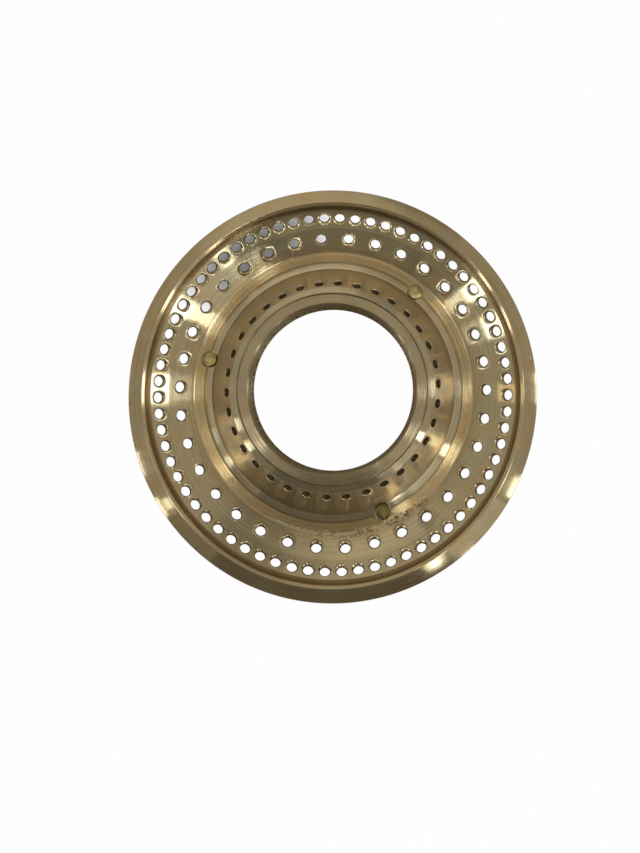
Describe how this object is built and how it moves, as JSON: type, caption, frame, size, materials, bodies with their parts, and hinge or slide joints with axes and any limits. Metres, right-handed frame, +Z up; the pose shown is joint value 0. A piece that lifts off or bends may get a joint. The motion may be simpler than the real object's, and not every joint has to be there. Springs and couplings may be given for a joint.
{
  "type": "gas burner cap",
  "caption": "Round turned brass burner cap for a gas stove: a perforated conical port ring and an inner collar locked together by driven pins, open gas channel on the underside.",
  "frame": {"origin": "centre of the flat crown face, with the cap lying on its crown", "axes": "+Z up along the bore, out of the open gas channel; +X towards 3 o'clock and +Y towards 12 o'clock of the picture"},
  "size_m": [0.1, 0.1, 0.013],
  "materials": {
    "ring_brass": "turned, satin",
    "collar_brass": "turned, satin",
    "pin_brass": "filed"
  },
  "bodies": {
    "root": {"port_ring": "ring_brass", "inner_collar": "collar_brass", "lock_pin_1": "pin_brass", "lock_pin_2": "pin_brass", "lock_pin_3": "pin_brass"}
  },
  "joints": []
}
